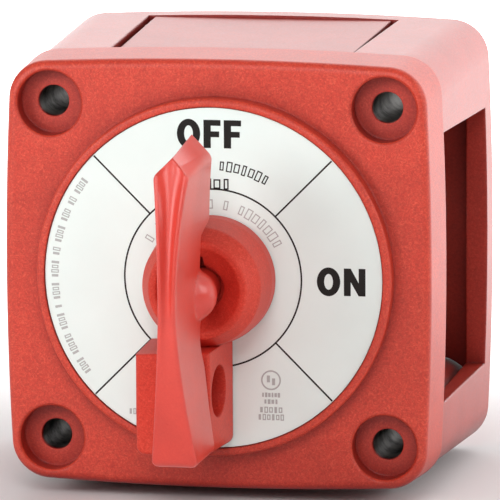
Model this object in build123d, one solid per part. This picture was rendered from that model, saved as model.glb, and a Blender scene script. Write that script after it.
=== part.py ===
from build123d import *
import math
import os

# A compact surface-mounted battery switch with a removable key.
# Frame: +X to the right and +Z up as seen from the front, and the front faces -Y.
# The origin is the centre of the mounting hole pattern, on the back mounting face.

# ---- driving dimensions, in millimetres ----
# housing
body_half = 34.925            # half the width of the front face, at the middle of each side
side_bulge = 1.05             # how far the middle of a side stands out beyond its ends
corner_radius = 6.4
front_edge_radius = 1.4
body_depth = 54.0             # back mounting face to the flat front face
cover_depth = 12.3            # depth of the front cover's side band
cover_flare = 0.56            # the cover grows this much per side towards the case
case_inset = 0.28             # the case starts this much inside the cover's rear edge
case_half_back = 36.6         # half the case's width at the mounting face
case_back_radius = 0.8
wall = 3.0
case_wall = 2.4
front_wall = 3.5
tower_radius = 6.0            # corner towers that the mounting holes run through
running_gap = 0.05
body_margin = 2.0             # cutting tools run this far past what they cut

# mounting holes
hole_half_spacing = 27.4      # holes lie at plus and minus this in X and Z
hole_radius = 2.55
counterbore_radius = 5.3
counterbore_depth = 3.6
counterbore_chamfer = 0.35
sleeve_radius = 3.6
sleeve_setback = 1.0          # metal sleeve ends this far behind the counterbore floor

# cable entries and the plates that close them
side_entry_front = 22.2       # half the side entry's width at the parting line
side_entry_back = 21.65       # and at its closed end
side_entry_y = -5.6
top_entry_front = 20.1
top_entry_back = 21.35
top_entry_y = -5.3
plate_gap_front = 0.8         # gap beside a plate at the parting line
plate_gap_back = 1.3
plate_thickness = 2.0
plate_recess_front = 1.0      # a plate lies this far below the case's side at the parting line
plate_recess_back = 0.5
plate_rib_half = 14.0
plate_rib_depth = 2.5
rear_cover_thickness = 2.5

# dial
boss_radius = 29.1            # raised ring around the dial
boss_edge_radius = 0.7
boss_lip = 0.3                # ring stands this much above the dial
dial_radius = 27.6
dial_height = 2.75            # dial's printed face above the flat front face
dial_thickness = 0.25
dial_gap = 0.3                # rotating pieces clear the dial by this

# hub and shaft
hub_radius = 10.3
hub_skirt = 3.2               # the hub's wall is upright up to this height, then slightly conical
hub_wall_radius = 9.65
hub_height = 9.2              # height of the hub's outer edge
crater_radius = 7.4
crater_height = 12.5          # top of the crater's rim
crater_floor = 9.8
crater_foot = 3.7             # radius of the crater at its floor
crater_sink = 1.6             # depth of the round recess in the crater's floor
shaft_radius = 8.0
shaft_collar_radius = 12.5    # collar of the cover that the shaft turns in
square = 9.0                  # square end that drives the contact carrier

# padlock lug
lug_height = 14.5             # above the dial
lug_left = -9.7
lug_right_front = 2.3
lug_right_base = 3.3
lug_bottom = 26.5
lug_top = 10.3
lug_draft = 0.3
lug_corner_radius = 1.5
lug_edge_radius = 0.7
lug_gap = 0.65                # the lug clears the dial, and the ring around it, by this
padlock_radius = 4.2
padlock_height = 9.0
padlock_drop = 16.7

# key
key_shank_radius = 3.0
key_boss_radius = 4.15        # round boss where the blade meets the shank
key_boss_height = 17.0
key_tooth = 1.0               # width of the tooth on the key's shank
key_tooth_reach = 5.1         # tooth's outer edge, from the axis
key_tooth_height = 7.0        # tooth starts this far above the dial
key_groove_radius = 2.2
blade_half_waist = 1.42
blade_half_top = 2.8
blade_half_bottom = 3.65
blade_apex = 24.6             # top of the roof-shaped end, at the middle of its ridge
blade_shoulder = 21.5
blade_roof_tilt = 4.5         # the roof rises towards the back by this many degrees
blade_bottom = 25.3
blade_front = 36.25           # height of the blade's front edge above the dial, at its waist
blade_scoop_radius = 3.75     # the hollow that runs down the blade's front
blade_scoop_depth = 1.2       # depth of the hollow at the shoulders
blade_toe_radius = 0.9

# contact block, studs and contacts
block_radius = 26.0
block_inner = 23.0
ear_radius = 3.4
ear_thickness = 6.0
screw_circle = 27.5
screw_radius = 1.5
screw_bite = 4.0
screw_head_radius = 2.8
gasket_thickness = 1.0
barrier_half = 1.2            # upright barrier between the two studs
barrier_reach = 18.0
stud_radius = 4.76            # 3/8 inch terminal studs
stud_root_radius = 5.06       # part of the stud that is held in the block and the nut
stud_half_spacing = 14.0
pad_radius = 8.0
flat_washer_radius = 9.5
flat_washer_thickness = 1.6
lock_washer_radius = 8.3
lock_washer_thickness = 2.2
nut_thickness = 8.3
nut_across_flats = 14.3

# moving parts inside
carrier_radius = 22.4
carrier_thickness = 4.0
bridge_half = 6.5
bridge_reach = 20.0
bridge_thickness = 2.6
tip_radius = 5.2
tip_thickness = 0.6
contact_spring_radius = 8.0
ball_radius = 1.4
ball_reach = 22.9             # outermost point of a detent ball, from the axis
detent_pocket_start = 12.0
detent_notch_radius = 2.0
shaft_ring_groove = 6.4
clip_groove_radius = 7.0
clip_thickness = 0.85
thrust_washer_radius = 11.0
thrust_washer_thickness = 0.55
rotor_washer_radius = 7.0
rotor_washer_thickness = 0.5

# ---- levels along Y ----
face_y = -body_depth
parting_y = face_y + cover_depth
dial_y = face_y - dial_height
rotor_base_y = dial_y - dial_gap
cover_inner_y = face_y + front_wall
counterbore_y = face_y + counterbore_depth
collar_end_y = -46.5
block_front_y = cover_inner_y + gasket_thickness
block_floor_y = -32.0
block_back_y = -27.0
pad_front_y = -34.0
pad_back_y = -31.0
lock_washer_y = block_back_y + flat_washer_thickness
nut_front_y = lock_washer_y + lock_washer_thickness
nut_back_y = nut_front_y + nut_thickness
stud_end_y = -4.5
barrier_end_y = -6.8
shaft_ring_y = -53.5
key_ring_y = -52.6
key_end_y = -50.6
key_bore_end_y = -50.0
thrust_washer_y = collar_end_y + 0.1
clip_y = thrust_washer_y + thrust_washer_thickness + 0.1
shaft_end_y = -44.0
carrier_y = -43.8
carrier_back_y = carrier_y + carrier_thickness
square_end_y = -39.5
bridge_y = -37.3
detent_y = carrier_y + carrier_thickness / 2

stud_x = (-stud_half_spacing, stud_half_spacing)


# ---- helpers ----
def disc(radius, y_low, y_high, x=0, z=0):
    """Solid cylinder along Y between two levels."""
    middle = (y_low + y_high) / 2
    return Pos(x, middle, z) * Rot(90, 0, 0) * Cylinder(radius, y_high - y_low)


def tube(outer, inner, y_low, y_high, x=0, z=0):
    return disc(outer, y_low, y_high, x, z) - disc(inner, y_low, y_high, x, z)


def slab(x_low, x_high, y_low, y_high, z_low, z_high):
    """Box between two corners."""
    centre = Pos((x_low + x_high) / 2, (y_low + y_high) / 2, (z_low + z_high) / 2)
    return centre * Box(x_high - x_low, y_high - y_low, z_high - z_low)


def level(y):
    """Sketch plane facing the front, with X to the right and Z up."""
    return Plane.XZ.offset(-y)


def convex_square(half, corner):
    """Square whose four sides bulge a little, with round corners."""
    end = half - side_bulge
    sides = Curve()
    for turn in range(4):
        arc = ThreePointArc((-end, end), (0, half), (end, end))
        sides += Rot(0, 0, -90 * turn) * arc
    outline = make_face(sides)
    return fillet(outline.vertices(), corner)


def flared_block(half_front, half_back, y_front, y_back, corner_front, corner_back):
    front = level(y_front) * convex_square(half_front, corner_front)
    back = level(y_back) * convex_square(half_back, corner_back)
    return loft([front, back], ruled=True)


def four_corners():
    for sx in (-1, 1):
        for sz in (-1, 1):
            yield sx * hole_half_spacing, sz * hole_half_spacing


def towers(radius, y_low, y_high):
    """Four round screw towers, each filled out to its corner of the housing."""
    inner = hole_half_spacing
    corners = []
    for x, z in four_corners():
        x_low, x_high = sorted((x, math.copysign(inner + radius, x)))
        z_low, z_high = sorted((z, math.copysign(inner + radius, z)))
        block = slab(x_low, x_high, y_low, y_high, z_low, z_high)
        corners.append(disc(radius, y_low, y_high, x, z) + block)
    return corners


def four_sides(distance):
    return [(distance, 0), (0, distance), (-distance, 0), (0, -distance)]


def coil(radius, wire, length, turns):
    """Spring along Z that starts at the origin."""
    height = length - 2 * wire
    path = Helix(pitch=height / turns, height=height, radius=radius)
    body = sweep(Plane(origin=path @ 0, z_dir=path % 0) * Circle(wire), path=path)
    return Pos(0, 0, wire) * body


def round_corner(outline, x, y, radius):
    """Round the one corner of a flat outline that lies nearest to a point."""
    return fillet(outline.vertices().sort_by_distance((x, y, 0))[0], radius)


# ---- housing ----
def make_front_cover():
    rear_half = body_half + cover_flare
    body = flared_block(body_half, rear_half, face_y, parting_y, corner_radius, corner_radius)
    body = fillet(body.faces().sort_by(Axis.Y)[0].edges(), front_edge_radius)
    pocket_half = body_half - wall
    pocket = slab(-pocket_half, pocket_half, cover_inner_y, parting_y + 1, -pocket_half, pocket_half)
    for tower in towers(tower_radius, cover_inner_y - 1, parting_y + body_margin):
        pocket -= tower
    body -= pocket
    boss = disc(boss_radius, dial_y - boss_lip, face_y + 1)
    body += fillet(boss.faces().sort_by(Axis.Y)[0].edges(), boss_edge_radius)
    body -= disc(dial_radius + 0.15, dial_y - body_margin, dial_y + dial_thickness)
    body += disc(shaft_collar_radius, cover_inner_y - 0.5, collar_end_y)
    body -= disc(shaft_radius + running_gap, dial_y - body_margin, collar_end_y + 1)
    for x, z in four_corners():
        body -= disc(counterbore_radius, face_y - 1, counterbore_y, x, z)
        rim = Cone(counterbore_radius, counterbore_radius + 2 * counterbore_chamfer, 2 * counterbore_chamfer)
        body -= Pos(x, face_y, z) * Rot(90, 0, 0) * rim
        body -= disc(hole_radius, face_y, parting_y + 1, x, z)
        body -= disc(sleeve_radius, counterbore_y + sleeve_setback, parting_y + 1, x, z)
    for x, z in four_sides(screw_circle):
        body -= disc(screw_radius, cover_inner_y - screw_bite, parting_y, x, z)
    return body


def entry_outline(front, back, y_front, y_back):
    """Tapered outline of a cable entry; front and back are its half widths at the two levels."""
    return make_face(Polyline((-front, y_front), (front, y_front), (back, y_back), (-back, y_back), close=True))


def make_case():
    front_half = body_half + cover_flare - case_inset
    body = flared_block(front_half, case_half_back, parting_y, 0, corner_radius + 0.5, corner_radius)
    body = fillet(body.faces().sort_by(Axis.Y)[-1].edges(), case_back_radius)
    inside = front_half - case_wall
    pocket = slab(-inside, inside, parting_y - 1, 1, -inside, inside)
    for tower in towers(tower_radius, parting_y - body_margin, body_margin):
        pocket -= tower
    body -= pocket
    reach = case_half_back + body_margin
    side = entry_outline(side_entry_front, side_entry_back, parting_y, side_entry_y)
    top = entry_outline(top_entry_front, top_entry_back, parting_y, top_entry_y)
    body -= extrude(side, reach, both=True).rotate(Axis.Y, 90)
    body -= extrude(top, reach, both=True)
    for x, z in four_corners():
        body -= disc(sleeve_radius, parting_y - 1, 1, x, z)
    return body


def make_side_plate(turn, entry_front, entry_back, entry_y):
    """Snap-in plate that closes a cable entry; turn is the side's angle about Y, 0 for the top."""
    y_front = parting_y + 0.3
    y_back = entry_y - 0.2
    outline = entry_outline(entry_front - plate_gap_front, entry_back - plate_gap_back, y_front, y_back)
    case_half_front = body_half + cover_flare - case_inset
    flare = (case_half_back - case_half_front) / -parting_y
    outer_front = case_half_front - plate_recess_front
    outer_back = case_half_front + flare * (y_back - parting_y) - plate_recess_back
    inner_front = outer_front - plate_thickness
    inner_back = outer_back - plate_thickness
    profile = make_face(Polyline((y_front, inner_front), (y_front, outer_front), (y_back, outer_back),
                                 (y_back, inner_back), close=True))
    plate = extrude(Plane.YZ * profile, entry_back, both=True) & extrude(outline, 2 * case_half_back)
    plate += slab(-plate_rib_half, plate_rib_half, y_back - 6, y_back - 4.5,
                  inner_front - plate_rib_depth, inner_back + 0.5)
    for y in (y_front + 4, y_back - 4):
        share = (y - parting_y) / (entry_y - parting_y)
        nib_reach = entry_front + share * (entry_back - entry_front) - 2 * running_gap
        nib_base = inner_front + share * (inner_back - inner_front) + 0.1
        plate += slab(-nib_reach, nib_reach, y - 1, y + 1, nib_base, nib_base + plate_thickness - 0.9)
    return plate.rotate(Axis.Y, turn)


def make_rear_cover():
    """Flat isolating cover that snaps into the back of the case."""
    half = body_half + cover_flare - case_inset - case_wall - 0.2
    plate = slab(-half, half, -rear_cover_thickness, 0, -half, half)
    for tower in towers(tower_radius + 0.2, -body_margin * 2, body_margin):
        plate -= tower
    for x in (-16, 10):
        tab = slab(x, x + 6, -6.5, -rear_cover_thickness + 0.5, half - 1.5, half)
        plate += tab
        plate += mirror(tab, Plane.XY)
    return plate


def make_sleeves():
    front = counterbore_y + sleeve_setback
    return [tube(sleeve_radius, hole_radius, front, 0, x, z) for x, z in four_corners()]


def make_dial():
    return tube(dial_radius, shaft_radius + 0.4, dial_y, dial_y + dial_thickness)


# ---- contact block, studs and contacts ----
def make_contact_block():
    ear_back_y = block_front_y + ear_thickness
    body = disc(block_radius, block_front_y, block_back_y)
    for x, z in four_sides(screw_circle):
        body += disc(ear_radius, block_front_y, ear_back_y, x, z)
    body -= disc(block_inner, block_front_y - 1, block_floor_y)
    notch = disc(detent_notch_radius, carrier_y - 0.5, carrier_back_y + 0.5, 0, block_inner)
    for angle in range(0, 360, 90):
        body -= notch.rotate(Axis.Y, angle)
    for x, z in four_sides(screw_circle):
        body -= disc(screw_radius + 0.2, block_front_y - 1, ear_back_y + 1, x, z)
        body -= disc(screw_head_radius + 0.3, ear_back_y, block_back_y + 1, x, z)
    body += slab(-barrier_half, barrier_half, block_back_y - 0.5, barrier_end_y,
                 -barrier_reach, barrier_reach)
    for x in stud_x:
        body -= disc(pad_radius, block_floor_y - 1, pad_back_y, x)
        body -= disc(stud_root_radius, block_floor_y, block_back_y + 1, x)
    return body


def make_gasket():
    body = tube(block_radius, block_inner, cover_inner_y, block_front_y)
    for x, z in four_sides(screw_circle):
        body += disc(ear_radius, cover_inner_y, block_front_y, x, z)
        body -= disc(screw_radius + 0.2, cover_inner_y - 1, block_front_y + 1, x, z)
    return body - disc(block_inner, cover_inner_y - 1, block_front_y + 1)


def make_block_screws():
    """Cross-head screws that hold the contact block to the cover."""
    head_y = block_front_y + ear_thickness
    screws = []
    for x, z in four_sides(screw_circle):
        screw = disc(screw_radius, cover_inner_y - screw_bite, head_y + 0.5, x, z)
        screw += disc(screw_head_radius, head_y, head_y + 1.6, x, z)
        screw -= slab(x - 0.3, x + 0.3, head_y + 0.9, head_y + 3, z - 1.7, z + 1.7)
        screw -= slab(x - 1.7, x + 1.7, head_y + 0.9, head_y + 3, z - 0.3, z + 0.3)
        screws.append(screw)
    return screws


def make_fixed_contacts():
    return [tube(pad_radius, stud_root_radius, pad_front_y, pad_back_y, x) for x in stud_x]


def make_studs():
    studs = []
    for x in stud_x:
        stud = disc(stud_radius, nut_back_y, stud_end_y, x)
        stud = chamfer(stud.faces().sort_by(Axis.Y)[-1].edges(), 0.8)
        studs.append(stud + disc(stud_root_radius, pad_front_y, nut_back_y, x))
    return studs


def make_flat_washers():
    return [tube(flat_washer_radius, stud_root_radius + 0.2, block_back_y, lock_washer_y, x) for x in stud_x]


def make_lock_washers():
    """Split spring washers, modelled flat with their cut."""
    washers = []
    for x in stud_x:
        ring = tube(lock_washer_radius, stud_root_radius + 0.1, lock_washer_y, nut_front_y, x)
        washers.append(ring - slab(x - 0.5, x + 0.5, lock_washer_y - 1, nut_front_y + 1, 3, 10))
    return washers


def make_hex_nuts():
    nuts = []
    for x in stud_x:
        hexagon = level(nut_back_y) * Pos(x, 0) * RegularPolygon(nut_across_flats / 2, 6, major_radius=False)
        blank = disc(nut_across_flats / 2 * 1.13, nut_front_y, nut_back_y, x)
        blank = chamfer(blank.faces().sort_by(Axis.Y)[-1].edges(), 0.9)
        nut = extrude(hexagon, nut_thickness) & blank
        nuts.append(nut - disc(stud_root_radius, nut_front_y - 1, nut_back_y + 1, x))
    return nuts


# ---- rotor ----
def make_hub():
    """Round hub: an upright foot, a slightly conical wall, a sloping shoulder and a bowl-shaped crater."""
    skirt_y = dial_y - hub_skirt
    edge_y = dial_y - hub_height
    rim_y = dial_y - crater_height
    floor_y = dial_y - crater_floor
    sink_y = floor_y + crater_sink
    outline = make_face(Polyline(
        (0, rotor_base_y), (hub_radius, rotor_base_y), (hub_radius, skirt_y),
        (hub_wall_radius, edge_y), (crater_radius + 0.5, rim_y),
        (crater_radius - 0.5, rim_y), (crater_foot, floor_y), (crater_foot, sink_y), (0, sink_y), close=True))
    outline = round_corner(outline, hub_wall_radius, edge_y, 1.6)
    outline = round_corner(outline, crater_radius + 0.5, rim_y, 0.45)
    outline = round_corner(outline, crater_radius - 0.5, rim_y, 0.45)
    outline = round_corner(outline, crater_foot, floor_y, 0.4)
    return revolve(outline, Axis.Y)


def make_lug():
    """Padlock lug: a drafted block below the hub with a cross hole."""
    front = level(dial_y - lug_height) * make_face(Polyline(
        (lug_left, -lug_top), (lug_right_front, -lug_top + 0.6), (lug_right_front, -lug_bottom),
        (lug_left, -lug_bottom), close=True))
    base_left, base_bottom = lug_left - lug_draft, -lug_bottom - lug_draft
    back = level(dial_y - lug_gap) * make_face(Polyline(
        (base_left, -lug_top + 0.3), (lug_right_base, -lug_top + 0.9), (lug_right_base, base_bottom),
        (base_left, base_bottom), close=True))
    lug = loft([front, back], ruled=True)
    lower = lug.edges().filter_by(lambda e: abs(e.tangent_at(0).Y) > 0.9).group_by(Axis.Z)[0]
    lug = fillet(lower, lug_corner_radius)
    lug = fillet(lug.faces().sort_by(Axis.Y)[0].edges(), lug_edge_radius)
    lug -= disc(hub_radius - 1, dial_y - lug_height - 1, dial_y - hub_height)
    hole = Pos(0, dial_y - padlock_height, -padlock_drop) * Rot(0, 90, 0) * Cylinder(padlock_radius, 60)
    return lug - hole


def make_rotor_head():
    """Hub, padlock lug, shaft and square end, with the key's bore and slot."""
    body = make_hub() + make_lug()
    body += disc(shaft_radius, rotor_base_y - 0.5, shaft_end_y)
    body += slab(-square / 2, square / 2, shaft_end_y - 0.5, square_end_y, -square / 2, square / 2)
    body -= tube(shaft_radius + 1, shaft_ring_groove, shaft_ring_y - 0.9, shaft_ring_y + 0.9)
    body -= tube(shaft_radius + 1, clip_groove_radius, clip_y - 0.05, clip_y + clip_thickness + 0.05)
    mouth_y = dial_y - crater_height - 1
    slot_half = key_tooth / 2 + 0.1
    body -= disc(key_shank_radius + running_gap, mouth_y, key_bore_end_y)
    body -= slab(-slot_half, slot_half, mouth_y, key_bore_end_y, 0, key_tooth_reach + 0.1)
    return body - disc(screw_radius, key_bore_end_y, square_end_y + 1)


def make_blade():
    """Waisted blade with a roof-shaped top and a hollow that runs down its front."""
    top, bottom = blade_apex + body_margin, -blade_bottom
    front = ThreePointArc((dial_y - 30.8, bottom), (dial_y - blade_front, 0), (dial_y - 32.0, top))
    back = Polyline((dial_y - 32.0, top), (dial_y - 13.3, top), (dial_y - 13.3, 21.5), (dial_y - 11.0, 11.5),
                    (dial_y - 15.7, 9.2), (dial_y - 16.8, 7.5), (dial_y - 16.8, -3), (dial_y - 17.6, -8),
                    (dial_y - 16.2, bottom), (dial_y - 30.8, bottom))
    blade = extrude(Plane.YZ * make_face(Curve() + [front, back]), 2 * blade_half_bottom, both=True)
    shoulder = (blade_half_top, blade_shoulder)
    toe = (blade_half_bottom, bottom)
    right = ThreePointArc(shoulder, (blade_half_waist, 0), toe) + Line(shoulder, (blade_half_top, top))
    left = mirror(right, Plane.YZ)
    ends = [Line((-blade_half_top, top), (blade_half_top, top)), Line(toe, (-blade_half_bottom, bottom))]
    outline = make_face(Curve() + [right, left] + ends)
    blade &= extrude(Plane.XZ * outline, 2 * body_depth, both=True)
    long_edges = blade.edges().filter_by(Axis.Y).group_by(Axis.Z)[0]
    blade = fillet(long_edges, blade_toe_radius)
    middle = Pos(0, dial_y - 24, 0)
    roof = make_face(Polyline((0, blade_apex), (blade_half_top, blade_shoulder), (blade_half_top, -40),
                              (-blade_half_top, -40), (-blade_half_top, blade_shoulder), close=True))
    roof = extrude(Plane.XZ * roof, body_depth, both=True)
    skirt = slab(-10, 10, -body_depth, body_depth, -60, blade_shoulder - 4)
    blade &= middle * (Rot(blade_roof_tilt, 0, 0) * roof + skirt)
    fall = blade_front - 33.0 + blade_scoop_depth
    lean = math.degrees(math.atan(fall / blade_shoulder))
    cutter = Pos(0, 0, blade_apex / 2) * Cylinder(blade_scoop_radius, 3 * blade_apex)
    axis_y = dial_y - blade_front - blade_scoop_radius
    return blade - Pos(0, axis_y, 0) * Rot(-lean, 0, 0) * cutter


def make_key():
    """Removable key: a waisted blade, a round boss and a shank with one tooth and a ring groove."""
    boss = Pos(0, dial_y - key_boss_height, 0) * Sphere(key_boss_radius)
    shank = disc(key_shank_radius, dial_y - key_boss_height, key_end_y)
    shank = chamfer(shank.faces().sort_by(Axis.Y)[-1].edges(), 0.4)
    shank += slab(-key_tooth / 2, key_tooth / 2, dial_y - key_tooth_height, key_end_y, 0, key_tooth_reach)
    shank -= tube(key_tooth_reach + 1, key_groove_radius, key_ring_y - 0.5, key_ring_y + 0.5)
    return make_blade() + boss + shank


def make_carrier():
    """Insulating disc on the rotor's square end that turns the contact bridge."""
    body = disc(carrier_radius, carrier_y, carrier_back_y)
    guide = slab(bridge_half + running_gap, 9.0, carrier_back_y - 1, bridge_y + 2, 9, 17)
    for side in (guide, mirror(guide, Plane.YZ)):
        body += side + mirror(side, Plane.XY)
    body -= slab(-square / 2, square / 2, carrier_y - 1, carrier_back_y + 1, -square / 2, square / 2)
    for side in (-1, 1):
        pocket = Pos(0, detent_y, side * (detent_pocket_start + 10)) * Cylinder(ball_radius + 0.1, 20)
        body -= pocket
    return body


def make_bridge():
    """Copper bar that joins the two fixed contacts when the switch is on."""
    bar = slab(-bridge_half, bridge_half, bridge_y, bridge_y + bridge_thickness, -bridge_reach, bridge_reach)
    return bar & disc(bridge_reach, bridge_y - 1, bridge_y + bridge_thickness + 1)


def make_contact_tips():
    start = bridge_y + bridge_thickness
    return [disc(tip_radius, start, start + tip_thickness, 0, s * stud_half_spacing) for s in (-1, 1)]


def make_contact_spring():
    start = carrier_back_y + 0.03
    spring = coil(contact_spring_radius, 0.4, bridge_y - 0.03 - start, 2)
    return Pos(0, start, 0) * Rot(-90, 0, 0) * spring


def make_detent_balls():
    centre = ball_reach - ball_radius
    return [Pos(0, detent_y, s * centre) * Sphere(ball_radius) for s in (-1, 1)]


def make_detent_springs():
    start = detent_pocket_start + 0.05
    end = ball_reach - 2 * ball_radius - 0.05
    upper = Pos(0, detent_y, start) * coil(0.95, 0.2, end - start, 6)
    return [upper, mirror(upper, Plane.XY)]


def make_seal_ring(y, groove_radius, thickness):
    """O-ring that lies on the floor of a groove."""
    minor = thickness / 2
    return Pos(0, y, 0) * Rot(90, 0, 0) * Torus(groove_radius + minor + 0.01, minor)


def make_thrust_washer():
    back_y = thrust_washer_y + thrust_washer_thickness
    return tube(thrust_washer_radius, shaft_radius + running_gap, thrust_washer_y, back_y)


def make_retaining_clip():
    """Open spring ring in the shaft's groove."""
    ring = tube(10.2, clip_groove_radius + 0.02, clip_y, clip_y + clip_thickness)
    return ring - slab(-4.6, 4.6, clip_y - 1, clip_y + 2, -12, 0)


def make_rotor_screw():
    """Slotted screw that holds the carrier on the square end."""
    head_y = square_end_y + rotor_washer_thickness
    screw = disc(screw_radius, -47.5, head_y + 0.2)
    screw += disc(3.4, head_y, head_y + 1.3)
    return screw - slab(-2.2, 2.2, head_y + 0.6, head_y + 3, -0.35, 0.35)


def make_rotor_washer():
    return tube(rotor_washer_radius, screw_radius, square_end_y, square_end_y + rotor_washer_thickness)


parts = {
    "front_cover": make_front_cover(),
    "case": make_case(),
    "top_plate": make_side_plate(0, top_entry_front, top_entry_back, top_entry_y),
    "bottom_plate": make_side_plate(180, top_entry_front, top_entry_back, top_entry_y),
    "left_plate": make_side_plate(-90, side_entry_front, side_entry_back, side_entry_y),
    "rear_cover": make_rear_cover(),
    "mounting_sleeves": make_sleeves(),
    "dial": make_dial(),
    "contact_block": make_contact_block(),
    "block_gasket": make_gasket(),
    "block_screws": make_block_screws(),
    "fixed_contacts": make_fixed_contacts(),
    "terminal_studs": make_studs(),
    "flat_washers": make_flat_washers(),
    "lock_washers": make_lock_washers(),
    "hex_nuts": make_hex_nuts(),
    "rotor_head": make_rotor_head(),
    "key": make_key(),
    "contact_carrier": make_carrier(),
    "contact_bridge": make_bridge(),
    "contact_spring": make_contact_spring(),
    "contact_tips": make_contact_tips(),
    "detent_balls": make_detent_balls(),
    "detent_springs": make_detent_springs(),
    "shaft_ring": make_seal_ring(shaft_ring_y, shaft_ring_groove, shaft_radius - shaft_ring_groove - 0.02),
    "key_ring": make_seal_ring(key_ring_y, key_groove_radius, 0.76),
    "thrust_washer": make_thrust_washer(),
    "retaining_clip": make_retaining_clip(),
    "rotor_screw": make_rotor_screw(),
    "rotor_washer": make_rotor_washer(),
}

os.makedirs("parts", exist_ok=True)
for name, shape in parts.items():
    if isinstance(shape, list):
        shape = Compound(children=shape)
    export_step(shape, f"parts/{name}.step")
    print(name, round(shape.volume, 1))
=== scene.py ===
import bpy
import bmesh
import math
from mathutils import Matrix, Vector


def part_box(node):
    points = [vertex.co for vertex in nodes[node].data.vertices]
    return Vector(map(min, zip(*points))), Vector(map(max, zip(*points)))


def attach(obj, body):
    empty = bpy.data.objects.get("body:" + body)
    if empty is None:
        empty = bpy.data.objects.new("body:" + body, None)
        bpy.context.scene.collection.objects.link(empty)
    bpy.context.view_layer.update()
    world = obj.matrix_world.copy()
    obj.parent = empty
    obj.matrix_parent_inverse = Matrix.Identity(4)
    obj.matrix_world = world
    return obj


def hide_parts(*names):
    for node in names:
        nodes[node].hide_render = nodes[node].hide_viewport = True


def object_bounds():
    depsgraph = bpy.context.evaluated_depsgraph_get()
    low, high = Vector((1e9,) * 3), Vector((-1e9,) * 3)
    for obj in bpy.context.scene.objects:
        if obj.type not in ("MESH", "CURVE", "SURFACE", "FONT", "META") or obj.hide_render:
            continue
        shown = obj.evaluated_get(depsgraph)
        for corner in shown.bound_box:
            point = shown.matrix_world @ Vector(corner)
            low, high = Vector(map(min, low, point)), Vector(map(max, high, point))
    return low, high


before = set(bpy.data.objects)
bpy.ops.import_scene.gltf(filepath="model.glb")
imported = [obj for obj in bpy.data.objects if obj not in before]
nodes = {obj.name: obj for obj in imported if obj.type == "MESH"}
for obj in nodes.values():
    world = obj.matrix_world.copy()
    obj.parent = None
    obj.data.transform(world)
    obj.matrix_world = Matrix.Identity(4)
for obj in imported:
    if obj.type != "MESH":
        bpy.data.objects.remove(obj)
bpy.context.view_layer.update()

MM = 0.001
dial_low, dial_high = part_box("dial")
dial_y = dial_low.y                       # the dial's printed face
dial_radius = dial_high.x
body_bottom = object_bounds()[0].z


# ---- materials ----
WHITE = (1.0, 1.0, 1.0)
NOISE_LOW, NOISE_HIGH = 0.25, 0.75        # most of a noise lies between these
# the painted shade in hollows looks this far for walls
HOLLOW_REACH = 12 * MM                    # how far a surface looks for walls around it
EDGE_ROUNDING = 0.5 * MM


def new_material(name):
    material = bpy.data.materials.new(name)
    material.use_nodes = True
    tree = material.node_tree
    return material, tree, tree.nodes["Principled BSDF"]


def object_coordinates(tree):
    return tree.nodes.new("ShaderNodeTexCoord").outputs["Object"]


def noise(tree, coordinates, scale, detail, roughness, distortion=0.0):
    """Noise factor at a scale in cycles per metre."""
    node = tree.nodes.new("ShaderNodeTexNoise")
    node.inputs["Distortion"].default_value = distortion
    node.inputs["Scale"].default_value = scale
    node.inputs["Detail"].default_value = detail
    node.inputs["Roughness"].default_value = roughness
    tree.links.new(coordinates, node.inputs["Vector"])
    return node.outputs["Fac"]


def ramp(tree, factor, stops):
    """Colour ramp from (position, colour) pairs."""
    node = tree.nodes.new("ShaderNodeValToRGB")
    elements = node.color_ramp.elements
    while len(elements) < len(stops):
        elements.new(0.5)
    for element, (position, colour) in zip(elements, stops):
        element.position = position
        element.color = (*colour, 1.0)
    tree.links.new(factor, node.inputs["Fac"])
    return node.outputs["Color"]


def to_range(tree, factor, low, high):
    """The usual span of a noise stretched to run from low to high."""
    node = tree.nodes.new("ShaderNodeMapRange")
    node.inputs["From Min"].default_value = NOISE_LOW
    node.inputs["From Max"].default_value = NOISE_HIGH
    node.inputs["To Min"].default_value = low
    node.inputs["To Max"].default_value = high
    tree.links.new(factor, node.inputs["Value"])
    return node.outputs["Result"]


def bump(tree, shader, layers, normal=None):
    """Chain of bump nodes from (height, distance in metres, strength) layers."""
    for height, distance, strength in layers:
        node = tree.nodes.new("ShaderNodeBump")
        node.inputs["Distance"].default_value = distance
        node.inputs["Strength"].default_value = strength
        tree.links.new(height, node.inputs["Height"])
        if normal is not None:
            tree.links.new(normal, node.inputs["Normal"])
        normal = node.outputs["Normal"]
    tree.links.new(normal, shader.inputs["Normal"])


def soft_edges(tree):
    """Normal that rounds the edges of the solid a little."""
    node = tree.nodes.new("ShaderNodeBevel")
    node.samples = 4
    node.inputs["Radius"].default_value = EDGE_ROUNDING
    return node.outputs["Normal"]


def multiply(tree, a, b):
    mix = tree.nodes.new("ShaderNodeMix")
    mix.data_type = "RGBA"
    mix.blend_type = "MULTIPLY"
    mix.inputs["Factor"].default_value = 1.0
    tree.links.new(a, mix.inputs["A"])
    tree.links.new(b, mix.inputs["B"])
    return mix.outputs["Result"]


def painted_hollow_shade(tree, hollow_shade):
    """Painted shade: white on open faces, turning to a darker tone inside hollows, where shade falls.
    """
    node = tree.nodes.new("ShaderNodeAmbientOcclusion")
    node.samples = 8
    node.inputs["Distance"].default_value = HOLLOW_REACH
    return ramp(tree, node.outputs["AO"], [(0.15, hollow_shade), (0.90, WHITE)])


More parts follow.
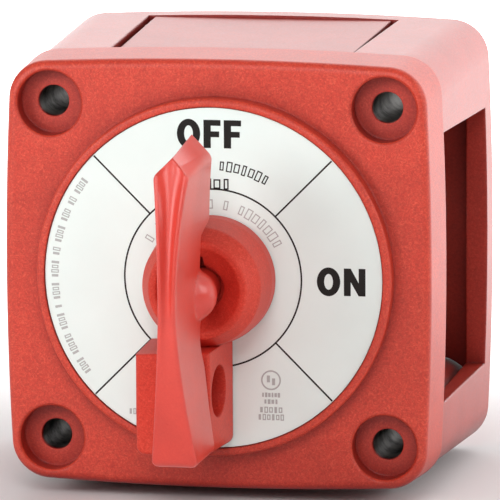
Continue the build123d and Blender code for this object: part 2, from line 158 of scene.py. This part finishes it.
def moulded_plastic(name, base, dark, light, roughness, grain=0.04 * MM, fleck=0.84, coat=0.0,
                    specular=0.5, hollow_shade=(0.44, 0.16, 0.19)):
    """Moulded plastic: fine mottling, flecks, a spark-eroded grain and painted shade that darkens the
    colour in hollows.
    """
    material, tree, shader = new_material(name)
    coordinates = object_coordinates(tree)
    clouds = noise(tree, coordinates, scale=1300.0, detail=5.0, roughness=0.7, distortion=2.5)
    mottled = ramp(tree, clouds, [(0.34, dark), (0.5, base), (0.66, light)])
    patches = noise(tree, coordinates, scale=110.0, detail=3.0, roughness=0.5)
    patch_tone = ramp(tree, patches, [(0.35, (0.90, 0.88, 0.88)), (0.65, WHITE)])
    flecks = noise(tree, coordinates, scale=2600.0, detail=2.0, roughness=0.5)
    fleck_tone = ramp(tree, flecks, [(0.3, (fleck, fleck, fleck)), (0.6, WHITE)])
    colour = multiply(tree, multiply(tree, mottled, fleck_tone), patch_tone)
    # painted shade: the colour darkens in hollows
    colour = multiply(tree, colour, painted_hollow_shade(tree, hollow_shade))
    tree.links.new(colour, shader.inputs["Base Color"])
    uneven = to_range(tree, clouds, roughness - 0.06, roughness + 0.07)
    tree.links.new(uneven, shader.inputs["Roughness"])
    shader.inputs["Specular IOR Level"].default_value = specular
    shader.inputs["Coat Weight"].default_value = coat
    shader.inputs["Coat Roughness"].default_value = 0.32
    texture = noise(tree, coordinates, scale=5200.0, detail=3.0, roughness=0.6)
    waves = noise(tree, coordinates, scale=160.0, detail=2.0, roughness=0.5)
    bump(tree, shader, [(texture, grain, 0.6), (waves, 0.10 * MM, 0.25)], soft_edges(tree))
    return material


def metal(name, base, dark, roughness):
    """Metal with fine machining marks and uneven tarnish; the sleeves' dark patches are near black,
    painted shade for the bores.
    """
    material, tree, shader = new_material(name)
    coordinates = object_coordinates(tree)
    marks = noise(tree, coordinates, scale=1800.0, detail=4.0, roughness=0.6)
    patches = noise(tree, coordinates, scale=260.0, detail=4.0, roughness=0.6)
    tree.links.new(ramp(tree, patches, [(0.35, dark), (0.62, base)]), shader.inputs["Base Color"])
    uneven = to_range(tree, marks, roughness - 0.08, roughness + 0.12)
    tree.links.new(uneven, shader.inputs["Roughness"])
    shader.inputs["Metallic"].default_value = 1.0
    bump(tree, shader, [(marks, 0.02 * MM, 0.4)])
    return material


def plain_film(name, base, light, roughness, specular=0.5):
    """Printed film: nearly even, with a faint paper-like unevenness."""
    material, tree, shader = new_material(name)
    coordinates = object_coordinates(tree)
    clouds = noise(tree, coordinates, scale=90.0, detail=3.0, roughness=0.5)
    tree.links.new(ramp(tree, clouds, [(0.3, base), (0.7, light)]), shader.inputs["Base Color"])
    fine = noise(tree, coordinates, scale=6000.0, detail=2.0, roughness=0.5)
    uneven = to_range(tree, fine, roughness - 0.04, roughness + 0.06)
    tree.links.new(uneven, shader.inputs["Roughness"])
    shader.inputs["Specular IOR Level"].default_value = specular
    bump(tree, shader, [(fine, 0.01 * MM, 0.3)])
    return material


# every plastic below gets painted shade in its hollows, in the last colour given or the default one
cover_red = moulded_plastic("cover_red", (0.68, 0.054, 0.027), (0.57, 0.038, 0.021),
                            (0.82, 0.110, 0.055), 0.42, grain=0.05 * MM)
case_red = moulded_plastic("case_red", (0.53, 0.042, 0.026), (0.47, 0.034, 0.022),
                           (0.61, 0.066, 0.040), 0.34, grain=0.03 * MM, hollow_shade=(0.30, 0.06, 0.08))
plate_red = moulded_plastic("plate_red", (0.52, 0.042, 0.026), (0.48, 0.037, 0.023),
                            (0.57, 0.055, 0.035), 0.36, grain=0.02 * MM)
rotor_red = moulded_plastic("rotor_red", (0.70, 0.058, 0.034), (0.62, 0.046, 0.028),
                            (0.80, 0.100, 0.062), 0.42, grain=0.02 * MM, fleck=0.90,
                            specular=0.20, hollow_shade=(0.82, 0.44, 0.47))
key_red = moulded_plastic("key_red", (0.74, 0.056, 0.036), (0.72, 0.051, 0.034),
                          (0.76, 0.064, 0.041), 0.32, grain=0.0, fleck=0.98, coat=0.26,
                          hollow_shade=(0.86, 0.70, 0.70))
black_nylon = moulded_plastic("black_nylon", (0.012, 0.012, 0.013), (0.008, 0.008, 0.009),
                              (0.020, 0.020, 0.021), 0.85, specular=0.0)
rubber = moulded_plastic("rubber", (0.010, 0.010, 0.010), (0.006, 0.006, 0.006),
                         (0.018, 0.018, 0.018), 0.80, specular=0.0)
steel = metal("steel", (0.62, 0.61, 0.58), (0.48, 0.47, 0.45), 0.28)
# near-black dark patches: painted shade inside the sleeve bores
shaded_sleeve_steel = metal("shaded_sleeve_steel", (0.52, 0.50, 0.48), (0.04, 0.03, 0.03), 0.40)
tin_plate = metal("tin_plate", (0.74, 0.72, 0.68), (0.60, 0.58, 0.54), 0.38)
copper = metal("copper", (0.86, 0.44, 0.27), (0.70, 0.32, 0.18), 0.32)
silver = metal("silver", (0.86, 0.84, 0.80), (0.72, 0.70, 0.66), 0.30)
dial_film = plain_film("dial_film", (0.83, 0.93, 0.89), (0.86, 0.96, 0.92), 0.42)
black_ink = plain_film("black_ink", (0.012, 0.010, 0.009), (0.018, 0.016, 0.014), 0.5, 0.2)
grey_ink = plain_film("grey_ink", (0.44, 0.45, 0.44), (0.48, 0.49, 0.48), 0.5)

node_materials = {
    "front_cover": cover_red, "case": case_red, "top_plate": plate_red, "bottom_plate": plate_red,
    "left_plate": plate_red, "rear_cover": plate_red, "mounting_sleeves": shaded_sleeve_steel,
    "dial": dial_film, "contact_block": black_nylon, "block_gasket": rubber,
    "block_screws": steel, "fixed_contacts": copper, "terminal_studs": tin_plate,
    "flat_washers": steel, "lock_washers": steel, "hex_nuts": steel,
    "rotor_head": rotor_red, "key": key_red, "contact_carrier": black_nylon,
    "contact_bridge": copper, "contact_spring": steel, "contact_tips": silver,
    "detent_balls": steel, "detent_springs": steel, "shaft_ring": rubber,
    "key_ring": rubber, "thrust_washer": steel, "retaining_clip": steel,
    "rotor_screw": steel, "rotor_washer": steel,
}


def paint(node, material):
    data = nodes[node].data
    data.materials.clear()
    data.materials.append(material)


for node, material in node_materials.items():
    paint(node, material)


# ---- flat printing on the dial, outlined in (x, z) ----
INK = 0.03 * MM                           # ink stands this much in front of the dial
LETTER_STROKE = 1.18 * MM                 # upright strokes of the big letters
O_WIDTH = 3.8 * MM
O_OVERSHOOT = 0.1 * MM                    # a round letter passes the line by this much
LINE_WIDTH = 0.27 * MM
LINE_CIRCLE_RADIUS = 14.48 * MM
WIDE_CELL, NARROW_CELL = 0.76, 0.54       # widths of fine-print blocks, as shares of a step
FINE_STROKE = 0.17 * MM


def flat_piece(name, outlines, material):
    """Thin raised print from closed outlines, with holes after the outer one."""
    curve = bpy.data.curves.new(name, "CURVE")
    curve.dimensions = "2D"
    curve.fill_mode = "BOTH"
    for outline in outlines:
        spline = curve.splines.new("POLY")
        spline.points.add(len(outline) - 1)
        for point, (x, z) in zip(spline.points, outline):
            point.co = (x, z, 0.0, 1.0)
        spline.use_cyclic_u = True
    curve.extrude = INK / 2
    carrier = bpy.data.objects.new(name + "_curve", curve)
    bpy.context.scene.collection.objects.link(carrier)
    carrier.rotation_euler = (math.radians(90), 0, 0)
    carrier.location = (0, dial_y - INK / 2, 0)
    bpy.context.view_layer.update()
    mesh = bpy.data.meshes.new_from_object(carrier)
    mesh.transform(carrier.matrix_world)
    bpy.data.objects.remove(carrier)
    piece = bpy.data.objects.new(name, mesh)
    bpy.context.scene.collection.objects.link(piece)
    mesh.materials.clear()
    mesh.materials.append(material)
    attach(piece, "housing")


def ellipse(x, z, rx, rz, count=64):
    turns = [2 * math.pi * i / count for i in range(count)]
    return [(x + rx * math.cos(t), z + rz * math.sin(t)) for t in turns]


def circle_line(x, z, middle_radius, width, count=64):
    """Outlines of a ring with a line's width."""
    outer, inner = middle_radius + width / 2, middle_radius - width / 2
    return [ellipse(x, z, outer, outer, count), ellipse(x, z, inner, inner, count)[::-1]]


def letter_o(x, base, height):
    """Letter O that passes the base line and the top line a little."""
    crown = 1.05 * MM
    z, tall = base - O_OVERSHOOT, height + 2 * O_OVERSHOOT
    cx, cz = x + O_WIDTH / 2, z + tall / 2
    outer = ellipse(cx, cz, O_WIDTH / 2, tall / 2)
    inner = ellipse(cx, cz, O_WIDTH / 2 - LETTER_STROKE, tall / 2 - crown)
    return [outer, inner[::-1]]


def letter_f(x, z, width, height):
    stem, arm = x + LETTER_STROKE, 0.93 * MM
    middle = z + height * 0.39
    middle_end = x + width * 0.92
    return [[(x, z), (stem, z), (stem, middle), (middle_end, middle),
             (middle_end, middle + arm), (stem, middle + arm),
             (stem, z + height - arm), (x + width, z + height - arm),
             (x + width, z + height), (x, z + height)]]


def letter_n(x, z, width, height):
    stem = 1.1 * MM
    right = x + width
    return [[(x, z), (x + stem, z), (x + stem, z + height * 0.51), (right - stem, z),
             (right, z), (right, z + height), (right - stem, z + height),
             (right - stem, z + height * 0.47), (x + stem, z + height), (x, z + height)]]


def print_words():
    """OFF at the top of the dial and ON at its right."""
    base, height = 21.1 * MM, 4.55 * MM
    flat_piece("print_off_o", letter_o(-5.75 * MM, base, height), black_ink)
    flat_piece("print_off_f1", letter_f(-1.40 * MM, base, 2.78 * MM, height), black_ink)
    flat_piece("print_off_f2", letter_f(1.92 * MM, base, 2.82 * MM, height), black_ink)
    base, height = -2.3 * MM, 4.45 * MM
    flat_piece("print_on_o", letter_o(17.0 * MM, base, height), black_ink)
    flat_piece("print_on_n", letter_n(21.4 * MM, base, 3.5 * MM, height), black_ink)


def print_circle():
    """Line circle around the hub, and four lines from it to the dial's rim."""
    flat_piece("print_circle", circle_line(0, 0, LINE_CIRCLE_RADIUS, LINE_WIDTH, 160), black_ink)
    rim_gap = 0.1 * MM
    for number, angle in enumerate((45, 135, 225, 315)):
        direction = Vector((math.cos(math.radians(angle)), math.sin(math.radians(angle))))
        side = Vector((-direction.y, direction.x)) * LINE_WIDTH / 2
        start, end = direction * LINE_CIRCLE_RADIUS, direction * (dial_radius - rim_gap)
        corners = [start + side, start - side, end - side, end + side]
        flat_piece(f"print_line_{number}", [[(c.x, c.y) for c in corners]], black_ink)


def block_outlines(x, z, width, height, turn, stroke):
    """Upright block of print; one wider than three strokes is left hollow."""
    along = Vector((math.cos(turn), math.sin(turn)))
    up = Vector((-along.y, along.x))
    middle = Vector((x, z))

    def ring(half_width, half_height):
        return [tuple(middle + a * along * half_width + b * up * half_height)
                for a, b in ((-1, -1), (1, -1), (1, 1), (-1, 1))]

    outlines = [ring(width / 2, height / 2)]
    if width > 3 * stroke:
        outlines.append(ring(width / 2 - stroke, height / 2 - stroke)[::-1])
    return outlines


def quad_piece(name, blocks, material, stroke=FINE_STROKE):
    """Flat print made of small upright blocks, each (x, z, width, height, turn)."""
    outlines = []
    for block in blocks:
        outlines += block_outlines(*block, stroke)
    flat_piece(name, outlines, material)


def print_cells(words):
    """Number of cells in a line of words, and each block's (cell, place in its word)."""
    places = []
    cell = 0
    for length in words:
        places += [(cell + i, i) for i in range(length)]
        cell += length + 1
    return cell - 1, places


def cell_share(i):
    return WIDE_CELL if i % 3 else NARROW_CELL


def bars_on_arc(radius, start, end, words, height):
    """Blocks that stand for words of fine print, clockwise from one angle to another in degrees."""
    cells, places = print_cells(words)
    step = (end - start) / cells
    blocks = []
    for cell, i in places:
        angle = math.radians(start + (cell + 0.5) * step)
        width = abs(math.radians(step)) * radius * cell_share(i)
        blocks.append((radius * math.cos(angle), radius * math.sin(angle), width,
                       height * (1.0 if i % 2 else 0.86), angle - math.pi / 2))
    return blocks


def bars_in_line(x, z, width, words, height):
    """Blocks that stand for a straight line of fine print, centred on x."""
    cells, places = print_cells(words)
    step = width / cells
    return [(x - width / 2 + (cell + 0.5) * step, z, step * cell_share(i),
             height * (1.0 if i % 2 else 0.88), 0.0) for cell, i in places]


def print_fine_marks():
    """Blocks of print in place of the wording around the dial."""
    rim_words = (4, 5, 4, 1, 4, 4, 2, 4, 3, 2, 4)
    quad_piece("print_rim", bars_on_arc(26.0 * MM, 218.0, 143.0, rim_words, 1.25 * MM), grey_ink)
    ring_words = (1, 4, 3, 1, 7)
    quad_piece("print_ring", bars_on_arc(12.05 * MM, 152.0, 26.0, ring_words, 1.75 * MM), grey_ink)
    quad_piece("print_arc", bars_on_arc(18.3 * MM, 118.0, 60.0, (7, 7), 1.7 * MM), black_ink,
               0.19 * MM)
    quad_piece("print_code", bars_in_line(0.0, 15.3 * MM, 6.0 * MM, (4,), 1.75 * MM), black_ink,
               0.22 * MM)
    corner_lines = [(-18.76, 3.1, 6, 0.75), (-19.85, 2.4, 4, 0.75),
                    (-21.2, 3.9, 5, 1.0), (-22.4, 4.4, 6, 1.0)]
    blocks = []
    for z, width, cells, height in corner_lines:
        blocks += bars_in_line(9.43 * MM, z * MM, width * MM, (cells,), height * MM)
    quad_piece("print_corner", blocks, grey_ink)
    badge_x, badge_z = 9.45 * MM, -16.35 * MM
    flat_piece("print_badge", circle_line(badge_x, badge_z, 1.50 * MM, 0.24 * MM), grey_ink)
    mark = (0.5 * MM, 1.1 * MM, 0.0)
    quad_piece("print_badge_marks", [(badge_x - 0.42 * MM, badge_z + 0.2 * MM, *mark),
                                     (badge_x + 0.42 * MM, badge_z - 0.25 * MM, *mark)], grey_ink)
    left_corner = bars_in_line(-10.9 * MM, -22.1 * MM, 6.2 * MM, (9,), 1.0 * MM)
    quad_piece("print_left_corner", left_corner, grey_ink)


print_words()
print_circle()
print_fine_marks()


# ---- the key, shaped over the CAD key ----
# millimetres: x across, z up, h forward from the dial's printed face
WAIST_HALF_WIDTH = 1.42
UPPER_FLARE = 0.0031                      # widening above the waist, with the square of z
LOWER_FLARE, LOWER_FLARE_POWER = 0.0193, 1.48
FRONT_AT_WAIST = 36.2
UPPER_BOW = 0.0088                        # how the front falls back above the waist
LOWER_BOW, LOWER_BOW_REACH, LOWER_BOW_POWER = 5.0, 24, 1.585
BLADE_BOTTOM, BLADE_TOP = -25.3, 21.0     # the top is nominal: the roof rises from it
ROOF_START = 12.0                         # the rings lean into the roof's slope from here up
ROOF_HALF_WIDTH = 2.72
ROOF_LEAN = 2.2                           # how far the back of the roof leans forward
ROUND_OVER, TOE_RADIUS = 0.55, 1.2        # edge radii at the top and the bottom
FRONT_CORNER, BACK_CORNER = 0.42, 0.55
BOSS_RADIUS, BOSS_HEIGHT = 4.15, 17.2     # ball at the blade's middle, over the shank
SHANK_RADIUS, GROOVE_RADIUS = 3.0, 2.2
SHANK_CORE = 0.4                          # the shank's ends close at this radius


def smooth_step(value):
    value = min(max(value, 0.0), 1.0)
    return value * value * (3 - 2 * value)


def smooth_max(a, b, width):
    """Larger of two values, with the change between them rounded over a width."""
    mix = min(max(0.5 + 0.5 * (a - b) / width, 0.0), 1.0)
    return b + (a - b) * mix + width * mix * (1 - mix)


def blade_half_width(z):
    """Half the blade's width: a waist that widens to both ends."""
    flare = UPPER_FLARE * z * z if z > 0 else LOWER_FLARE * (-z) ** LOWER_FLARE_POWER
    return WAIST_HALF_WIDTH + flare


def blade_front(z):
    """Height of the blade's front ridges, which bow back to both ends."""
    bow = UPPER_BOW * z * z if z > 0 else LOWER_BOW * (-z / LOWER_BOW_REACH) ** LOWER_BOW_POWER
    return FRONT_AT_WAIST - bow


def blade_scoop(z):
    """Depth of the hollow that runs down the blade's front."""
    return 0.10 + 1.15 * smooth_step((z + 12) / 34)


def blade_back(z):
    """Height of the blade's back edge: it dips towards the hub above the shank."""
    upper = 13.45 - 0.27 * (BLADE_TOP - z)
    lower = 16.8 + 1.5 * smooth_step(1 - abs(z + 7.5) / 4.5) - 0.03 * max(-z - 10, 0)
    return upper + (lower - upper) * smooth_step((11.6 - z) / 2.2)


def boss_half_width(z, h):
    return math.sqrt(max(BOSS_RADIUS ** 2 - z * z - (h - BOSS_HEIGHT) ** 2, 0.0))


def boss_back(z):
    """Height of the ball's back, which leaves the blade steeply beside the ball."""
    inside = BOSS_RADIUS ** 2 - z * z
    return BOSS_HEIGHT - math.sqrt(inside) if inside > 0 else BOSS_HEIGHT + 3 * (abs(z) - BOSS_RADIUS)


def blade_side(z, h, inset):
    """Half width of the blade with its ball, at a height above the dial."""
    width, back = blade_half_width(z), blade_back(z)
    blade = width * smooth_step(h - back + 1.2) if h < back else width
    blend = 0.8 * smooth_step((6.5 - abs(z)) / 2) + 0.001
    return max(smooth_max(blade, boss_half_width(z, h), blend) - inset, 0.02)


def blade_section(z, inset):
    """Right half of the blade's outline at one z, as (x, h) from the back's middle to the front's."""
    front = blade_front(z) - inset
    back = -smooth_max(-blade_back(z), -boss_back(z), 0.9) + inset
    low, high = back + BACK_CORNER, front - FRONT_CORNER
    start, ridge = blade_side(z, low, inset), blade_side(z, high, inset)
    points = [(start * i / 4 * 0.8, back) for i in range(4)]
    radius = min(BACK_CORNER, start)
    for i in range(5):
        turn = math.pi / 2 * i / 4
        points.append((start - radius + radius * math.sin(turn),
                       back + BACK_CORNER * (1 - math.cos(turn))))
    for i in range(1, 30):
        h = low + (high - low) * (i / 30) ** 1.5
        points.append((blade_side(z, h, inset), h))
    for i in range(6):
        turn = math.radians(112) * i / 5
        points.append((ridge - FRONT_CORNER + FRONT_CORNER * math.cos(turn),
                       high + FRONT_CORNER * math.sin(turn)))
    x_end, h_end = points[-1]
    for i in range(1, 9):
        x = x_end * (1 - i / 8)
        points.append((x, h_end - blade_scoop(z) * (1 - (x / x_end) ** 2)))
    return points


def roof_height(x, h):
    """Height in z of the blade's peaked top, which rises towards its back."""
    ridge = 23.6 + (32.5 - h) * 0.115
    shoulder = 21.1 + (32.2 - h) * 0.042
    return ridge - min(abs(x) / ROOF_HALF_WIDTH, 1.1) * (ridge - shoulder)


def leaning(points, share):
    """The same outline with its back leaning forward towards the ridge of the roof."""
    back = points[0][1]
    return [(x, max(h, back + ROOF_LEAN * share * max(1 - abs(x) / ROOF_HALF_WIDTH, 0.0)))
            for x, h in points]


def toe_rings():
    """Rounded lower end of the blade."""
    rings = []
    for step in range(6):
        turn = math.pi / 2 * step / 6
        z = BLADE_BOTTOM + TOE_RADIUS * (1 - math.cos(turn))
        rings.append([(x, h, z) for x, h in blade_section(z, TOE_RADIUS * (1 - math.sin(turn)))])
    return rings


def straight_rings():
    """Level rings from the toe to the start of the roof."""
    count = 76
    start = BLADE_BOTTOM + TOE_RADIUS
    rings = []
    for i in range(count + 1):
        z = start + (ROOF_START - start) * i / count
        rings.append([(x, h, z) for x, h in blade_section(z, 0.0)])
    return rings


def roof_rings():
    """Rings that lean more and more into the roof, and the rounded edge around it."""
    count, round_count = 18, 4
    rings = []
    for i in range(1, count + 1):
        share = i / count
        nominal = ROOF_START + (BLADE_TOP - ROOF_START) * share
        rings.append([(x, h, ROOF_START + (roof_height(x, h) - ROUND_OVER - ROOF_START) * share)
                      for x, h in leaning(blade_section(nominal, 0.0), smooth_step(share * 2 - 1))])
    for step in range(1, round_count + 1):
        turn = math.pi / 2 * step / round_count
        inset = ROUND_OVER * 0.8 * (1 - math.cos(turn))
        rings.append([(x, h, roof_height(x, h) - ROUND_OVER * (1 - math.sin(turn)))
                      for x, h in leaning(blade_section(BLADE_TOP, inset), 1.0)])
    return rings


def add_point(bm, x, h, z):
    return bm.verts.new((x * MM, dial_y - h * MM, z * MM))


def skin(bm, rings):
    """Side walls between closed rings that hold the same number of points."""
    for a, b in zip(rings, rings[1:]):
        for i in range(len(a)):
            j = (i + 1) % len(a)
            bm.faces.new((a[i], a[j], b[j], b[i]))


def add_blade(bm):
    """The blade, whose top is two faces that meet at the roof's ridge."""
    halves = toe_rings() + straight_rings() + roof_rings()
    rings = []
    for half in halves:
        right = [add_point(bm, x, h, z) for x, h, z in half]
        left = [add_point(bm, -x, h, z) for x, h, z in half[1:-1]]
        rings.append(right + left[::-1])
    skin(bm, rings)
    bm.faces.new(rings[0][::-1])
    top, half_count = rings[-1], len(halves[-1])
    bm.faces.new(top[:half_count])
    bm.faces.new([top[0]] + top[half_count - 1:])


def lathe(bm, profile, segments=72):
    """Closed solid of revolution about the key's axis from (radius, h) points."""
    turns = [2 * math.pi * i / segments for i in range(segments)]
    rings = [[add_point(bm, radius * math.cos(turn), h, radius * math.sin(turn)) for turn in turns]
             for radius, h in profile]
    skin(bm, rings)
    bm.faces.new(rings[0][::-1])
    bm.faces.new(rings[-1])


def add_shank(bm):
    """Round shank with a groove for the rubber ring near its end."""
    r, g = SHANK_RADIUS, GROOVE_RADIUS
    lathe(bm, [(SHANK_CORE, 18.5), (r - 0.2, 18.0), (r, 16.0), (r, -3.65), (g, -3.7), (g, -4.6),
               (r, -4.65), (r, -5.75), (r - 0.4, -6.1), (SHANK_CORE, -6.12)])


def add_box(bm, low, high):
    """Box between two corners given as (x, h, z)."""
    ends = list(zip(low, high))
    corners = [add_point(bm, x, h, z) for x in ends[0] for h in ends[1] for z in ends[2]]
    for face in ((0, 1, 3, 2), (4, 6, 7, 5), (0, 4, 5, 1), (2, 3, 7, 6), (0, 2, 6, 4), (1, 5, 7, 3)):
        bm.faces.new([corners[i] for i in face])


def make_key():
    bm = bmesh.new()
    add_blade(bm)
    add_shank(bm)
    tooth_low, tooth_high = (-0.5, -6.1, 0.0), (0.5, 7.0, 5.1)
    add_box(bm, tooth_low, tooth_high)
    bmesh.ops.recalc_face_normals(bm, faces=bm.faces)
    mesh = bpy.data.meshes.new("key_sculpted")
    bm.to_mesh(mesh)
    bm.free()
    piece = bpy.data.objects.new("key_sculpted", mesh)
    bpy.context.scene.collection.objects.link(piece)
    mesh.materials.append(key_red)
    mesh.shade_smooth()
    mesh.set_sharp_from_angle(angle=math.radians(38))
    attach(piece, "key")
    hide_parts("key")


make_key()


# ---- stage, light and camera ----
def make_floor():
    """White floor that glows more and more towards the backdrop, like a lit studio sweep."""
    size, gap = 6.0, 0.5 * MM
    z = body_bottom - gap
    corners = [(-size, -size, z), (size, -size, z), (size, size, z), (-size, size, z)]
    mesh = bpy.data.meshes.new("floor")
    mesh.from_pydata(corners, [], [(0, 1, 2, 3)])
    floor = bpy.data.objects.new("floor", mesh)
    bpy.context.scene.collection.objects.link(floor)
    material, tree, shader = new_material("floor_white")
    shader.inputs["Base Color"].default_value = (0.84, 0.84, 0.84, 1)
    shader.inputs["Roughness"].default_value = 0.9
    shader.inputs["Emission Color"].default_value = (*WHITE, 1)
    depth = tree.nodes.new("ShaderNodeSeparateXYZ")
    tree.links.new(object_coordinates(tree), depth.inputs["Vector"])
    glow_start, glow_end, glow_strength = -0.02, 0.22, 1.8
    glow = tree.nodes.new("ShaderNodeMapRange")
    glow.interpolation_type = "SMOOTHSTEP"
    glow.inputs["From Min"].default_value = glow_start
    glow.inputs["From Max"].default_value = glow_end
    glow.inputs["To Max"].default_value = glow_strength
    tree.links.new(depth.outputs["Y"], glow.inputs["Value"])
    tree.links.new(glow.outputs["Result"], shader.inputs["Emission Strength"])
    mesh.materials.append(material)


def area_light(name, location, size, power):
    """Round soft light, turned to the middle of the object."""
    middle = Vector((0.0, -0.06, 0.0))
    data = bpy.data.lights.new(name, "AREA")
    data.shape = "DISK"
    data.size = size
    data.energy = power
    light = bpy.data.objects.new(name, data)
    bpy.context.scene.collection.objects.link(light)
    light.location = location
    light.rotation_euler = (middle - Vector(location)).to_track_quat("-Z", "Y").to_euler()


def make_world():
    """Studio walls: a bright backdrop behind the object, dimmer above, at the sides and in front."""
    backdrop_direction = (0.26, 0.966, 0.0)
    world = bpy.data.worlds.new("studio")
    world.use_nodes = True
    tree = world.node_tree
    background = tree.nodes["Background"]
    direction = tree.nodes.new("ShaderNodeTexCoord").outputs["Generated"]
    toward_backdrop = tree.nodes.new("ShaderNodeVectorMath")
    toward_backdrop.operation = "DOT_PRODUCT"
    toward_backdrop.inputs[1].default_value = backdrop_direction
    tree.links.new(direction, toward_backdrop.inputs[0])
    tone = ramp(tree, toward_backdrop.outputs["Value"],
                [(0.0, (0.10, 0.10, 0.10)), (0.45, (0.16, 0.16, 0.16)), (0.70, WHITE)])
    tree.links.new(tone, background.inputs["Color"])
    background.inputs["Strength"].default_value = 2.45
    bpy.context.scene.world = world


def make_camera():
    """Long lens, from above and to the right of the front."""
    data = bpy.data.cameras.new("camera")
    data.sensor_width = 36.0
    data.lens = 455.05
    data.clip_start, data.clip_end = 0.05, 20.0
    camera = bpy.data.objects.new("camera", data)
    bpy.context.scene.collection.objects.link(camera)
    camera.location = (0.201977, -1.038364, 0.161502)
    camera.rotation_euler = [math.radians(a) for a in (81.09944, 0.25797, 11.24438)]
    bpy.context.scene.camera = camera


make_floor()
make_world()
area_light("left_light", (-0.26, -0.36, 0.13), 0.18, 0.66)
area_light("front_light", (0.03, -0.38, 0.20), 0.18, 0.48)
area_light("right_light", (0.50, -0.14, 0.20), 0.18, 0.50)
area_light("right_spark", (0.46, -0.06, 0.24), 0.05, 0.10)
make_camera()
bpy.context.scene.view_settings.view_transform = "Standard"
